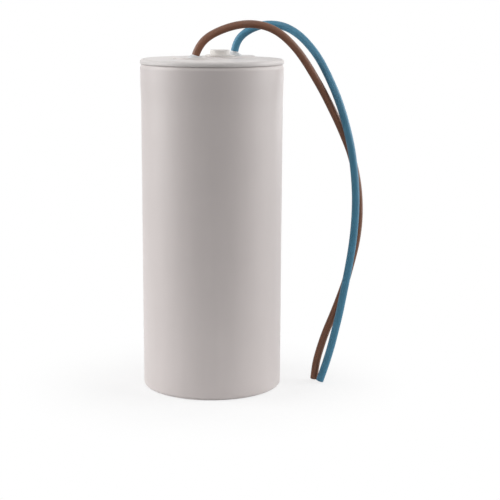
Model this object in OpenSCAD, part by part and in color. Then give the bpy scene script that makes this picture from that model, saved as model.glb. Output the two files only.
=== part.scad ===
// Motor run capacitor: a moulded plastic can with a welded lid, two flexible leads
// and, sealed inside, the metallised film winding, its connections and the potting.
// Millimetres, +Z up. The can stands on z = 0 with its axis on the Z axis.

/* [Can] */
// Outside diameter of the can
can_d = 40; // [38:0.5:46]
// Height of the lid's top face above the base
overall_h = 94; // [90:0.5:98]
// Thickness of the can's side wall
can_wall = 1.5; // [1.2:0.1:1.8]
// Thickness of the can's floor
can_floor = 1.8; // [1.5:0.1:2.2]
// Radius of the rounded outer edge at the base
base_edge_r = 1; // [0.5:0.1:1.4]
// Radius of the rounded outer edge at the can's mouth
rim_edge_r = 1; // [0.4:0.1:1.2]
// How far the band round the can's mouth stands proud of the wall
mouth_band = 0.2; // [0.1:0.05:0.4]
// Height of the band, below the lid
mouth_band_h = 4.5; // [3:0.5:7]
// Height over which the wall widens into the band
mouth_taper_h = 6; // [3:0.5:9]
// Diameter of the shallow recess under the base
base_recess_d = 30; // [24:0.5:32]
// Depth of the recess under the base
base_recess_h = 0.5; // [0.3:0.1:0.7]
// Diameter of the gate dimple in the middle of the base
gate_d = 4; // [3:0.5:6]
// Depth of the gate dimple
gate_h = 0.4; // [0.2:0.1:0.6]

/* [Inner ribs of the can] */
// Number of ribs that centre the winding and hold it off the floor
rib_count = 6; // [4:1:6]
// Thickness of one rib
rib_t = 1.2; // [0.8:0.1:1.6]
// Height of the ribs' upright part above the floor
rib_h = 52; // [40:1:60]
// Height of the ribs' flat part, on which the winding stands
standoff_h = 2.4; // [2:0.1:3]
// Length of the ribs' flat part, measured in from the can's inner wall
standoff_len = 9; // [7:0.5:10]
// Gap between the winding and the ribs
winding_gap = 0.1; // [0.05:0.05:0.3]

/* [Lid] */
// Thickness of the lid's plate and flange
lid_t = 1.5; // [1.3:0.1:2]
// How far the lid's flange stands proud of the can's mouth
lid_overhang = 0.05; // [0:0.05:0.3]
// Radius of the lid's rounded top edge
lid_edge_r = 1; // [0.4:0.1:1.2]
// Small bevel round the lid's lower edge, at the seam
lid_seam_bevel = 0.25; // [0.1:0.05:0.4]
// Depth of the skirt that plugs into the can
skirt_h = 6; // [4:0.5:8]
// Thickness of the skirt
skirt_t = 1.2; // [0.9:0.1:1.5]
// Gap between the skirt and the can's inner wall
skirt_gap = 0.1; // [0.05:0.05:0.2]
// How far the snap bead stands out of the skirt
bead_h = 0.4; // [0.3:0.05:0.5]
// Height of the snap bead
bead_w = 1.2; // [1:0.1:1.6]
// Distance from the lid's underside to the middle of the snap bead
bead_drop = 3.2; // [2.5:0.1:3.4]
// Height of the raised pad round the lead holes
pad_h = 0.4; // [0.3:0.05:0.6]
// Radius of the pad's round ends
pad_r = 6.2; // [5:0.2:6.6]
// Wall of the guide tubes under the lead holes
guide_t = 1; // [0.8:0.1:1.3]
// Length of the guide tubes under the lid
guide_len = 3; // [2:0.5:5]

/* [Filler plug] */
// Diameter of the filler hole in the lid
filler_d = 5; // [4:0.25:5.5]
// Gap round the plug's stem in the filler hole
plug_gap = 0.05; // [0.02:0.01:0.1]
// Diameter of the plug's flange
plug_flange_d = 8.4; // [7.5:0.1:8.6]
// Thickness of the plug's flange
plug_flange_t = 0.5; // [0.4:0.05:0.8]
// Diameter of the plug's raised head
plug_head_d = 5.7; // [4.5:0.1:6.5]
// Height of the raised head above the flange
plug_head_h = 1.1; // [0.8:0.1:1.6]
// Radius of the head's top edge
plug_edge_r = 0.35; // [0.2:0.05:0.5]
// How far the barb stands out under the lid
barb_h = 0.25; // [0.15:0.05:0.4]
// Length of the barb
barb_len = 1.4; // [1:0.1:2]

/* [Leads] */
// Outside diameter of the insulated leads
lead_d = 2.2; // [1.8:0.1:2.4]
// Gap round a lead in its hole
lead_gap = 0.1; // [0.05:0.05:0.2]
// Diameter of the stranded conductor
conductor_d = 1.1; // [0.8:0.1:1.3]
// Height of the sealing bead round the brown lead, above the pad
seal_brown_h = 0.4; // [0.2:0.1:0.8]
// Height of the sealing bead round the blue lead, above the pad
seal_blue_h = 1.2; // [0.6:0.1:1.4]
// Width of a sealing bead's foot, outside its hole
seal_foot = 1.1; // [0.8:0.1:1.2]
// Width of a sealing bead's top, outside its hole
seal_top = 0.4; // [0.2:0.1:0.6]
// Gap round a lead where it bends out of its sealing bead
seal_gap = 0.2; // [0.1:0.05:0.3]
// Angle by which the brown lead's sealing bead leans with the lead's first bend
seal_brown_lean = 12; // [0:1:20]
// Angle by which the blue lead's sealing bead leans with the lead's first bend
seal_blue_lean = 7; // [0:1:20]

/* [Winding and connections] */
// Free depth between the lid's underside and the top of the winding
head_space = 14.5; // [13:0.5:18]
// Outside diameter of the core tube that the film is wound on
core_d = 8; // [7:0.5:10]
// Wall of the core tube
core_wall = 1; // [0.8:0.1:1.2]
// Clearance all round between the winding and the can's inner wall
winding_clear = 2; // [1.6:0.1:3]
// Thickness of the sprayed metal on each end of the winding
spray_t = 0.6; // [0.4:0.1:0.9]
// Width of the flat return strip
strip_w = 3; // [2:0.25:3.2]
// Thickness of the return strip
strip_t = 0.3; // [0.2:0.05:0.4]
// Inside radius of the strip's two bends
strip_bend_r = 0.8; // [0.5:0.1:1]
// How far the strip's foot reaches from the axis
strip_foot = 11; // [9:0.5:13]
// Height of the strip's upper leg above the winding
strip_rise = 3.4; // [3:0.1:4]
// How far the strip's upper leg reaches past the brown lead
strip_tip = 1.6; // [1.2:0.1:2]
// Inside diameter of the insulating sleeve round the strip
sleeve_bore = 3.8; // [3.5:0.1:4]
// Wall of the insulating sleeve
sleeve_wall = 0.5; // [0.4:0.05:0.7]
// Gap between the sleeve and the hole of the insulating disc
sleeve_gap = 0.3; // [0.1:0.1:0.5]
// Distance from the ends of the sleeve to the strip's bends
sleeve_setback = 0.4; // [0.2:0.1:1]
// Thickness of the insulating disc on top of the winding
disc_t = 0.8; // [0.5:0.1:1.2]
// Gap between the insulating disc and the can's inner wall
disc_gap = 1.4; // [1:0.1:2]
// Radius of the solder joint on the top of the winding
solder_top_r = 2.4; // [2:0.1:3]
// Radius of the solder joint on the strip's foot
solder_foot_r = 2.2; // [1.8:0.1:3]
// Thickness of the solder joint on the strip's foot
solder_foot_t = 1.2; // [0.8:0.1:1.6]
// Radius of the solder joint between strip and brown conductor
solder_tip_r = 1.3; // [1:0.1:1.4]
// Gap between a solder joint and the edge of the insulating disc
solder_gap = 0.6; // [0.4:0.1:1]
// Length of lead that the potting grips
lead_grip = 1.5; // [1:0.1:2.5]
// Free height between the potting and the lid's skirt
pour_gap = 1.4; // [1:0.1:2]

/* [Hidden] */
$fn = 96;

// Where the leads and the filler hole pass the lid, as [x, y]
brown_exit = [-4.8, -1];
blue_exit = [6.2, 11];
filler_at = [2.2, 5];

// Free routes of the leads above the lid, as [x, y, z]
brown_route = [
    [-3.4, -1, 97.6], [-1.6, -1, 99.7], [1.5, -0.5, 101.5], [6, -0.5, 103.1], [10.8, 0, 103.7],
    [15.5, 0.5, 102.9], [19.5, 0.5, 100.8], [23.5, 1, 97], [26.5, 1.5, 93], [29, 1.5, 89],
    [31.5, 2, 84.8],
    [34, 2, 80], [36, 2, 76], [38, 2, 71.5], [39.6, 2, 67.5], [41, 2, 62.5], [42, 2, 57],
    [42.4, 2, 51.5], [42.3, 2, 46.5], [41.6, 2, 40.8], [40.4, 2, 35.5], [39, 2, 30],
    [37.5, 2, 25.5], [35.5, 2, 20], [33.5, 2, 15], [32, 2, 10.5], [30.6, 1.5, 5.5], [30, 1.5, 0.5]
];
blue_route = [
    [7.2, 11, 98.6], [9.2, 11, 100.8], [12, 10.5, 102.4], [15.6, 9.5, 103.4], [20.4, 8.5, 102.9],
    [24.6, 7, 100.6], [28, 5.5, 97.2], [30.6, 4, 93.6], [33, 2.5, 89], [35, 1, 84.5],
    [36.5, 0, 80.5], [38, -0.5, 75.5],
    [39.4, -1, 69.8], [40.4, -1, 63.5], [41, -1, 57], [41.1, -1, 51.5], [40.9, -1, 46.5],
    [40.5, -1, 42], [39.9, -1, 37.5], [39, -1, 32], [38, -1, 26.5], [37, -1, 21], [36, -1, 16.5],
    [34.6, -1, 10.5], [33, -1, 5], [31.5, -1, 0.5]
];

// Radii and levels
can_r = can_d / 2;
can_bore_r = can_r - can_wall;
mouth_r = can_r + mouth_band;
lid_r = mouth_r + lid_overhang;
lid_under = overall_h - lid_t;
can_h = lid_under;
skirt_r = can_bore_r - skirt_gap;
skirt_bore_r = skirt_r - skirt_t;
pad_top = overall_h + pad_h;
lead_r = lead_d / 2;
lead_hole_r = lead_r + lead_gap;
conductor_r = conductor_d / 2;
pot_level = lid_under - skirt_h - pour_gap;
lead_start = pot_level - lead_grip;

winding_r = can_bore_r - winding_clear;
core_r = core_d / 2;
core_bore_r = core_r - core_wall;
pack_bottom = can_floor + standoff_h;
pack_top = lid_under - head_space;
film_bottom = pack_bottom + spray_t;
film_top = pack_top - spray_t;
disc_r = can_bore_r - disc_gap;
disc_hole_r = sleeve_bore / 2 + sleeve_wall + sleeve_gap;

// The strip lies in the upright plane through the axis and the brown lead
brown_reach = norm(brown_exit);
strip_turn = atan2(brown_exit[1], brown_exit[0]);
strip_top = pack_top + strip_rise;
solder_at = (core_r + strip_foot) / 2 + solder_foot_r / 2;
rib_turn = strip_turn + 180 / rib_count;

// What a rounded corner leaves out: the corner of a square, outside a quarter circle.
// The corner points to +x, +y and the square's inner corner is at the origin.
module corner_waste(r) {
    difference() {
        square([r + 1, r + 1]);
        circle(r);
        translate([r, -1]) square([2, 1]);
        translate([-1, r]) square([1, 2]);
    }
}

// A ring about the Z axis with square edges
module ring(outer_r, inner_r, z0, z1) {
    rotate_extrude()
        translate([inner_r, z0]) square([outer_r - inner_r, z1 - z0]);
}

// Places its children at a lead's exit, at height z
module at_exit(exit, z) {
    translate([exit[0], exit[1], z]) children();
}

// Outline of the can's wall and floor, from the axis outwards
module can_outline() {
    bead_z = lid_under - bead_drop;
    band_z = can_h - mouth_band_h;
    difference() {
        union() {
            square([can_r, can_h]);
            polygon([
                [can_bore_r, band_z - mouth_taper_h],
                [can_r, band_z - mouth_taper_h],
                [mouth_r, band_z],
                [mouth_r, can_h],
                [can_bore_r, can_h]
            ]);
        }
        translate([-1, can_floor]) square([can_bore_r + 1, can_h]);
        translate([-1, -1]) square([base_recess_d / 2 + 1, base_recess_h + 1]);
        translate([-1, base_recess_h - 1]) square([gate_d / 2 + 1, gate_h + 1]);
        translate([can_r - base_edge_r, base_edge_r]) mirror([0, 1]) corner_waste(base_edge_r);
        translate([mouth_r - rim_edge_r, can_h - rim_edge_r]) corner_waste(rim_edge_r);
        translate([can_bore_r - 1, bead_z - bead_w / 2 - skirt_gap])
            square([1 + bead_h, bead_w + 2 * skirt_gap]);
    }
}

// The ribs inside the can: an upright that centres the winding, and a flat foot under it.
// Both are rooted in the wall and the floor by half their thickness. A grown rib also takes in
// the hairline gap beside the winding and reaches up into it, to cut the potting cleanly.
module can_ribs(grown = false) {
    upright = winding_clear + (grown ? winding_gap : -winding_gap);
    foot_top = pack_bottom + (grown ? spray_t / 2 : 0);
    root_r = can_bore_r + can_wall / 2;
    root_z = can_floor / 2;
    for (i = [0 : rib_count - 1])
        rotate(rib_turn + i * 360 / rib_count) {
            translate([can_bore_r - upright, -rib_t / 2, root_z])
                cube([root_r - can_bore_r + upright, rib_t, can_floor + rib_h - root_z]);
            translate([can_bore_r - standoff_len, -rib_t / 2, root_z])
                cube([root_r - can_bore_r + standoff_len, rib_t, foot_top - root_z]);
        }
}

// Moulded can with a recessed base, inner ribs and the groove for the lid's snap bead
module can() {
    color("gainsboro") {
        rotate_extrude() can_outline();
        can_ribs();
    }
}

// Outline of the lid's plate, flange, skirt and snap bead, from the axis outwards
module lid_outline() {
    bead_z = lid_under - bead_drop;
    difference() {
        translate([0, lid_under]) square([lid_r, lid_t]);
        translate([lid_r - lid_edge_r, overall_h - lid_edge_r]) corner_waste(lid_edge_r);
        translate([lid_r, lid_under]) rotate(45)
            square(lid_seam_bevel * sqrt(2), center = true);
    }
    translate([skirt_bore_r, lid_under - skirt_h]) square([skirt_t, skirt_h]);
    polygon([
        [skirt_r - skirt_t / 2, bead_z - bead_w / 2],
        [skirt_r, bead_z - bead_w / 2],
        [skirt_r + bead_h, bead_z],
        [skirt_r, bead_z + bead_w / 2],
        [skirt_r - skirt_t / 2, bead_z + bead_w / 2]
    ]);
}

// The raised pad: a bar with round ends that joins the two lead holes, within the lid's flat top
module lid_pad() {
    span = blue_exit - brown_exit;
    translate([0, 0, overall_h - lid_t / 2])
        linear_extrude(lid_t / 2 + pad_h)
            intersection() {
                circle(lid_r - lid_edge_r);
                translate(brown_exit)
                    rotate(atan2(span[1], span[0])) {
                        circle(pad_r);
                        translate([norm(span), 0]) circle(pad_r);
                        translate([0, -pad_r]) square([norm(span), 2 * pad_r]);
                    }
            }
}

// Lid with its pad, the two lead holes with their guide tubes, and the filler hole
module lid() {
    color("whitesmoke")
        difference() {
            union() {
                rotate_extrude() lid_outline();
                lid_pad();
                for (exit = [brown_exit, blue_exit])
                    at_exit(exit, lid_under - guide_len)
                        cylinder(h = guide_len + lid_t / 2, r = lead_hole_r + guide_t);
            }
            for (exit = [brown_exit, blue_exit])
                at_exit(exit, lid_under - guide_len - 1)
                    cylinder(h = guide_len + lid_t + pad_h + 2, r = lead_hole_r, $fn = 48);
            at_exit(filler_at, lid_under - 1)
                cylinder(h = lid_t + pad_h + 2, r = filler_d / 2);
        }
}

// Push-in plug of the filler hole: stem with a barb, flange and raised head
module filler_plug() {
    stem_r = filler_d / 2 - plug_gap;
    stem_len = lid_t + pad_h;
    head_r = plug_head_d / 2;
    head_top = plug_flange_t + plug_head_h;
    color("lightgray")
        at_exit(filler_at, pad_top)
            rotate_extrude($fn = 72)
                difference() {
                    union() {
                        translate([0, -stem_len - barb_len])
                            square([stem_r, stem_len + barb_len]);
                        square([plug_flange_d / 2, plug_flange_t]);
                        square([head_r, head_top]);
                        polygon([
                            [0, -stem_len - barb_len],
                            [stem_r, -stem_len - barb_len],
                            [filler_d / 2 + barb_h, -stem_len - plug_gap],
                            [0, -stem_len - plug_gap]
                        ]);
                    }
                    translate([head_r - plug_edge_r, head_top - plug_edge_r])
                        corner_waste(plug_edge_r);
                }
}

// Sealing bead round a lead, leaning the way that the lead's first bend goes
module lead_seal(exit, first_bend, h, lean) {
    toward = atan2(first_bend[1] - exit[1], first_bend[0] - exit[0]);
    bore_r = lead_r + seal_gap;
    at_exit(exit, pad_top)
        rotate(toward)
            intersection() {
                rotate([0, lean, 0])
                    difference() {
                        translate([0, 0, -1])
                            cylinder(h = h + 1, r1 = bore_r + seal_foot + (seal_foot - seal_top) / h,
                                     r2 = bore_r + seal_top);
                        translate([0, 0, -2]) cylinder(h = h + 3, r = bore_r, $fn = 48);
                    }
                cylinder(h = h + 1, r = bore_r + seal_foot);
            }
}

module lead_seal_brown() {
    color("linen") lead_seal(brown_exit, brown_route[0], seal_brown_h, seal_brown_lean);
}

module lead_seal_blue() {
    color("linen") lead_seal(blue_exit, blue_route[0], seal_blue_h, seal_blue_lean);
}

// Metallised film wound on the core tube
module film_winding() {
    color("silver") ring(winding_r, core_r, film_bottom, film_top);
}

module core_tube() {
    color("tan") ring(core_r, core_bore_r, pack_bottom, pack_top);
}

// Sprayed metal contact on one end of the winding
module end_spray_top() {
    color("gray") ring(winding_r, core_r, film_top, pack_top);
}

module end_spray_bottom() {
    color("gray") ring(winding_r, core_r, pack_bottom, film_bottom);
}

// Insulating disc on the winding, open at the sleeve and at the top solder joint
module insulating_disc() {
    color("burlywood")
        difference() {
            ring(disc_r, disc_hole_r, pack_top, pack_top + disc_t);
            at_exit(blue_exit, pack_top - 1)
                cylinder(h = disc_t + 2, r = solder_top_r + solder_gap);
        }
}

// Quarter of a flat ring, the bend of a strip seen from its edge
module strip_bend() {
    intersection() {
        difference() {
            circle(strip_bend_r + strip_t, $fn = 48);
            circle(strip_bend_r, $fn = 48);
        }
        square(strip_bend_r + strip_t);
    }
}

// Edge view of the strip: foot under the winding, riser on the axis, leg to the brown lead
module strip_profile() {
    turn = strip_bend_r + strip_t;
    half = strip_t / 2;
    translate([turn - half, pack_bottom - strip_t]) square([strip_foot - turn + half, strip_t]);
    translate([turn - half, pack_bottom - strip_t + turn]) rotate(180) strip_bend();
    translate([-half, pack_bottom - strip_t + turn])
        square([strip_t, strip_top - pack_bottom + strip_t - 2 * turn]);
    translate([turn - half, strip_top - turn]) rotate(90) strip_bend();
    translate([turn - half, strip_top - strip_t])
        square([brown_reach + strip_tip - turn + half, strip_t]);
}

// Tinned strip that brings the winding's lower end up through the core
module return_strip() {
    color("lightsteelblue")
        rotate(strip_turn)
            rotate([90, 0, 0])
                translate([0, 0, -strip_w / 2])
                    linear_extrude(strip_w) strip_profile();
}

module strip_sleeve() {
    turn = strip_bend_r + strip_t + sleeve_setback;
    color("khaki")
        ring(sleeve_bore / 2 + sleeve_wall, sleeve_bore / 2,
             pack_bottom - strip_t + turn, strip_top - turn);
}

// Flat-topped dome of solder between the strip's foot and the lower end of the winding
module solder_foot() {
    color("darkgray")
        difference() {
            rotate(strip_turn)
                translate([solder_at, 0, pack_bottom - solder_foot_t])
                    cylinder(h = solder_foot_t, r1 = solder_foot_r * 0.7, r2 = solder_foot_r);
            return_strip();
        }
}

// Half ball of solder on a flat face at height z, round the conductor that stands there
module solder_dome(exit, z, r) {
    color("darkgray")
        at_exit(exit, z)
            difference() {
                sphere(r, $fn = 48);
                translate([0, 0, -2 * r]) cylinder(h = 2 * r, r = 2 * r);
                cylinder(h = 2 * r, r = conductor_r, $fn = 32);
            }
}

// Solder on the strip's tip, round the brown conductor
module solder_tip() {
    solder_dome(brown_exit, strip_top, solder_tip_r);
}

// Solder on the upper end of the winding, round the blue conductor
module solder_top() {
    solder_dome(blue_exit, pack_top, solder_top_r);
}

// Bared end of a lead's conductor, from its joint up to the insulation
module conductor(exit, z) {
    at_exit(exit, z) cylinder(h = lead_start - z, r = conductor_r, $fn = 32);
}

module conductor_brown() {
    color("peru") conductor(brown_exit, strip_top);
}

module conductor_blue() {
    color("peru") conductor(blue_exit, pack_top);
}

// Resin poured round everything inside, up to just below the lid's skirt.
// It doesn't creep into the hairline gap between the ribs and the winding.
module potting_resin() {
    color("darkslategray")
        difference() {
            translate([0, 0, can_floor])
                cylinder(h = pot_level - can_floor, r = can_bore_r);
            can_ribs(grown = true);
            ring(winding_r, core_bore_r, pack_bottom, pack_top);
            insulating_disc();
            return_strip();
            strip_sleeve();
            solder_foot();
            solder_tip();
            solder_top();
            conductor_brown();
            conductor_blue();
            for (exit = [brown_exit, blue_exit])
                at_exit(exit, lead_start)
                    cylinder(h = lead_grip + 1, r = lead_hole_r, $fn = 48);
        }
}

// The lead's direction at point i of its route
function heading(route, i) =
    let (a = route[max(i - 1, 0)], b = route[min(i + 1, len(route) - 1)])
    (b - a) / norm(b - a);

// The corners of the lead's cross-section at point i of its route
function lead_ring(route, i, sides) =
    let (
        along = heading(route, i),
        flat = cross([0, 1, 0], along),
        across = flat / norm(flat),
        up = cross(along, across)
    )
    [for (k = [0 : sides - 1])
        route[i] + lead_r * (cos(k * 360 / sides) * across + sin(k * 360 / sides) * up)];

// A lead as one tube, swept along its route
module lead_tube(route, sides = 8) {
    last = len(route) - 1;
    corners = [for (i = [0 : last]) each lead_ring(route, i, sides)];
    walls = [
        for (i = [0 : last - 1], k = [0 : sides - 1])
            let (n = (k + 1) % sides, low = i * sides, high = low + sides)
            each [[low + k, high + k, high + n], [low + k, high + n, low + n]]
    ];
    start_cap = [for (k = [0 : sides - 1]) k];
    end_cap = [for (k = [sides - 1 : -1 : 0]) last * sides + k];
    polyhedron(points = corners, faces = concat(walls, [start_cap, end_cap]), convexity = 10);
}

// The straight stretch of a lead through the potting and the lid
function lead_inside(exit) = [
    [exit[0], exit[1], lead_start],
    [exit[0], exit[1], (lead_start + pad_top) / 2],
    [exit[0], exit[1], pad_top]
];

module lead_brown() {
    color("saddlebrown") lead_tube(concat(lead_inside(brown_exit), brown_route));
}

module lead_blue() {
    color("steelblue") lead_tube(concat(lead_inside(blue_exit), blue_route));
}

can();
lid();
filler_plug();
lead_seal_brown();
lead_seal_blue();
film_winding();
core_tube();
end_spray_top();
end_spray_bottom();
insulating_disc();
return_strip();
strip_sleeve();
solder_foot();
solder_tip();
solder_top();
conductor_brown();
conductor_blue();
potting_resin();
lead_brown();
lead_blue();
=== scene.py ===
"""The looks of a motor run capacitor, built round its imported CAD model.

The can, its lid, the filler plug, the sealing beads and the two flexible leads are made here as
fine meshes. The pieces sealed inside keep their CAD solids and get their materials here.
The classes hold their sizes in millimetres. A mesh is turned into metres when it is built.
"""

import logging
import math
from collections.abc import Callable, Sequence
from dataclasses import dataclass, field
from enum import Enum

import bmesh
import bpy
import numpy as np
from mathutils import Euler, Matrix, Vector
from mathutils.geometry import delaunay_2d_cdt


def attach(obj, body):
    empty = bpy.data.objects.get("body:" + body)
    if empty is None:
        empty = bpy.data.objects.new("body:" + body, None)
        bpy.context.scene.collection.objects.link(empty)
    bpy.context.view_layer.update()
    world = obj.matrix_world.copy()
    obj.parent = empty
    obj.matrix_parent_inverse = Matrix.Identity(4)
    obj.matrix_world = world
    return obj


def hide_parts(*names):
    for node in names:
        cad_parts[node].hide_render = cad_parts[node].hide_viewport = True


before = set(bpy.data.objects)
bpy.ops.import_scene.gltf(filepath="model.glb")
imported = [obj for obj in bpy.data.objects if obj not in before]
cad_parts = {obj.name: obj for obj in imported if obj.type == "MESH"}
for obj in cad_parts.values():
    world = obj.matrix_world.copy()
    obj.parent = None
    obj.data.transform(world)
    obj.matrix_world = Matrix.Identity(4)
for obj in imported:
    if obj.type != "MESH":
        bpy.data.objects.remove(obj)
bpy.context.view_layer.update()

MM = 0.001
BODY = "root"
LOG = logging.getLogger("capacitor")
WHITE = (1.0, 1.0, 1.0)

# Lengths in millimetres below which two places count as one.
MATCH = 0.01
MERGED = 1e-7
ON_AXIS = 1e-9

Pair = tuple[float, float]
Triple = tuple[float, float, float]
Bend = Callable[[float, float, float], float]


# ---------------------------------------------------------------- lines and profiles


@dataclass(frozen=True)
class Corner:
    """A corner of a turned profile: its radius from the axis, its height and its rounding."""

    r: float
    z: float
    rounding: float = 0.0


def rounded(corners: Sequence[Corner], steps: int = 6) -> list[Pair]:
    """Draws a profile with an arc at each corner that has a rounding.

    Args:
        corners: The profile's corners in order.
        steps: How many straight pieces one arc gets.

    Returns:
        The profile as (radius, height) pairs.
    """
    line: list[Pair] = []
    for before, corner, after in zip([None, *corners], corners, [*corners[1:], None]):
        here = Vector((corner.r, corner.z))
        if not corner.rounding or before is None or after is None:
            line.append((here.x, here.y))
            continue
        back = (Vector((before.r, before.z)) - here).normalized()
        ahead = (Vector((after.r, after.z)) - here).normalized()
        half = back.angle(ahead) / 2
        centre = here + (back + ahead).normalized() * (corner.rounding / math.sin(half))
        reach = corner.rounding / math.tan(half)
        start = here + back * reach - centre
        end = here + ahead * reach - centre
        first = math.atan2(start.y, start.x)
        turn = (math.atan2(end.y, end.x) - first + math.pi) % math.tau - math.pi
        for step in range(steps + 1):
            angle = first + turn * step / steps
            line.append(
                (
                    centre.x + corner.rounding * math.cos(angle),
                    centre.y + corner.rounding * math.sin(angle),
                )
            )
    return line


def divided(line: Sequence[Pair], longest: float) -> list[Pair]:
    """Cuts each stretch of a profile into pieces no longer than longest."""
    out = [line[0]]
    for a, b in zip(line, line[1:]):
        count = max(1, math.ceil(math.dist(a, b) / longest))
        out += [(a[0] + (b[0] - a[0]) * k / count, a[1] + (b[1] - a[1]) * k / count)
                for k in range(1, count + 1)]
    return out


def even_curve(points: Sequence[Triple], spacing: float, samples: int = 24) -> np.ndarray:
    """Draws a smooth curve through points and spaces it evenly.

    Args:
        points: The points that the curve passes.
        spacing: The distance between the points that come back.
        samples: How many points each stretch gets before the spacing is evened.

    Returns:
        The curve as an array of points.
    """
    given = np.array(points, float)
    held = np.vstack([2 * given[0] - given[1], given, 2 * given[-1] - given[-2]])
    t = np.linspace(0, 1, samples, endpoint=False)[:, None]
    stretches = [
        0.5 * (2 * b + (c - a) * t + (2 * a - 5 * b + 4 * c - d) * t**2
               + (3 * b - a - 3 * c + d) * t**3)
        for a, b, c, d in zip(held, held[1:], held[2:], held[3:])
    ]
    line = np.vstack([*stretches, given[-1:]])
    along = np.concatenate([[0], np.cumsum(np.linalg.norm(np.diff(line, axis=0), axis=1))])
    at = np.linspace(0, along[-1], round(along[-1] / spacing) + 1)
    return np.stack([np.interp(at, along, line[:, k]) for k in range(3)], axis=1)


def relaxed(line: np.ndarray, free_from: float, passes: int, pull: float = 0.25) -> np.ndarray:
    """Evens out a line's small wobbles above a height, and keeps its two ends.

    Args:
        line: Evenly spaced points.
        free_from: Up to here, from the line's start, the points stay as they are.
        passes: How many times each free point moves towards its neighbours' middle.
        pull: How strongly it moves each time.

    Returns:
        The line with its free points moved.
    """
    first = max(1, int(np.argmax(line[:, 2] > free_from)))
    out = line.copy()
    for _ in range(passes):
        out[first:-1] += pull * (out[first - 1:-2] - 2 * out[first:-1] + out[first + 1:])
    return out


def directions(line: np.ndarray) -> np.ndarray:
    """The unit direction of a line at each of its points."""
    step = np.gradient(line, axis=0)
    return step / np.linalg.norm(step, axis=1)[:, None]


def carried_frames(along: np.ndarray) -> tuple[np.ndarray, np.ndarray]:
    """Carries a pair of cross directions down a line without letting them twist.

    Args:
        along: The line's unit directions.

    Returns:
        Two arrays of unit vectors that stand square to the line and to each other.
    """
    side = np.cross(along[0], [0.0, 1.0, 0.0])
    sides = []
    for direction in along:
        side = side - direction * side.dot(direction)
        side = side / np.linalg.norm(side)
        sides.append(side)
    across = np.array(sides)
    return across, np.cross(along, across)


# ---------------------------------------------------------------- meshes


class Shell:
    """A closed surface that is put together from rings of points, in millimetres."""

    def __init__(self) -> None:
        """Starts without points or faces."""
        self.points: list[Triple] = []
        self.faces: list[tuple[int, ...]] = []

    def ring(self, points: Sequence[Sequence[float]]) -> list[int]:
        """Adds points and gives back their numbers."""
        first = len(self.points)
        self.points += [tuple(float(x) for x in point) for point in points]
        return list(range(first, len(self.points)))

    def circle(self, r: float, z: float, count: int, centre: Pair = (0.0, 0.0)) -> list[int]:
        """Adds a level circle of points and gives back their numbers."""
        turns = [math.tau * k / count for k in range(count)]
        return self.ring([(centre[0] + r * math.cos(a), centre[1] + r * math.sin(a), z)
                          for a in turns])

    def bridge(self, low: Sequence[int], high: Sequence[int]) -> None:
        """Joins two closed rings of the same count with a band of faces."""
        count = len(low)
        self.faces += [(low[k], low[(k + 1) % count], high[(k + 1) % count], high[k])
                       for k in range(count)]

    def bridge_all(self, rings: Sequence[Sequence[int]]) -> None:
        """Joins each ring to the next one."""
        for low, high in zip(rings, rings[1:]):
            self.bridge(low, high)

    def close(self, ring: Sequence[int]) -> None:
        """Closes a ring with a fan of triangles round its middle."""
        middle = np.mean([self.points[k] for k in ring], axis=0)
        (tip,) = self.ring([middle])
        count = len(ring)
        self.faces += [(ring[k], ring[(k + 1) % count], tip) for k in range(count)]

    def lathe(self, line: Sequence[Pair], count: int, bend: Bend | None = None) -> list[list[int]]:
        """Turns a profile about the Z axis.

        Args:
            line: The profile as (radius, height) pairs.
            count: How many points go round.
            bend: Gives how far a point moves outwards, from its angle, radius and height.

        Returns:
            The rings in the profile's order. A point on the axis gives a ring of one.
        """
        rings = []
        for r, z in line:
            if r < ON_AXIS:
                rings.append(self.ring([(0.0, 0.0, z)]))
                continue
            angles = [math.tau * k / count for k in range(count)]
            reach = [r + (bend(a, r, z) if bend else 0.0) for a in angles]
            rings.append(self.ring([(d * math.cos(a), d * math.sin(a), z)
                                    for a, d in zip(angles, reach)]))
        for low, high in zip(rings, rings[1:]):
            if len(low) == len(high):
                self.bridge(low, high)
                continue
            tip, rim = (low, high) if len(low) == 1 else (high, low)
            self.faces += [(rim[k], rim[(k + 1) % count], tip[0]) for k in range(count)]
        return rings

    def floor(self, rim: Sequence[int], holes: Sequence[Sequence[int]]) -> None:
        """Fills a level outline with triangles and leaves its holes open.

        Args:
            rim: The outer ring, which has no hollow.
            holes: The rings of the holes.
        """
        used = [k for loop in (rim, *holes) for k in loop]
        flat = [Vector(self.points[k][:2]) for k in used]
        edges, start = [], 0
        for loop in (rim, *holes):
            count = len(loop)
            edges += [(start + k, start + (k + 1) % count) for k in range(count)]
            start += count
        spots, _, faces, origins, _, _ = delaunay_2d_cdt(flat, edges, [], 0, MERGED)
        number = {k: used[origin[0]] for k, origin in enumerate(origins) if origin}
        outlines = [[Vector(self.points[k][:2]) for k in hole] for hole in holes]
        for face in faces:
            middle = sum((spots[k] for k in face), Vector((0, 0))) / len(face)
            if not any(inside(middle, outline) for outline in outlines):
                self.faces.append(tuple(number[k] for k in face))

    def build(self, name: str, sharp_from: float = 32.0) -> bpy.types.Object:
        """Makes the Blender object.

        Args:
            name: The piece's name.
            sharp_from: Edges whose faces turn by more than this many degrees stay sharp.

        Returns:
            The object, in metres, with its faces turned outwards.
        """
        mesh = bpy.data.meshes.new(name)
        mesh.from_pydata([Vector(p) * MM for p in self.points], [], self.faces)
        work = bmesh.new()
        work.from_mesh(mesh)
        bmesh.ops.recalc_face_normals(work, faces=work.faces)
        limit = math.radians(sharp_from)
        for edge in work.edges:
            edge.smooth = edge.calc_face_angle(0.0) < limit
        for face in work.faces:
            face.smooth = True
        work.to_mesh(mesh)
        work.free()
        piece = bpy.data.objects.new(name, mesh)
        bpy.context.scene.collection.objects.link(piece)
        return piece


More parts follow.
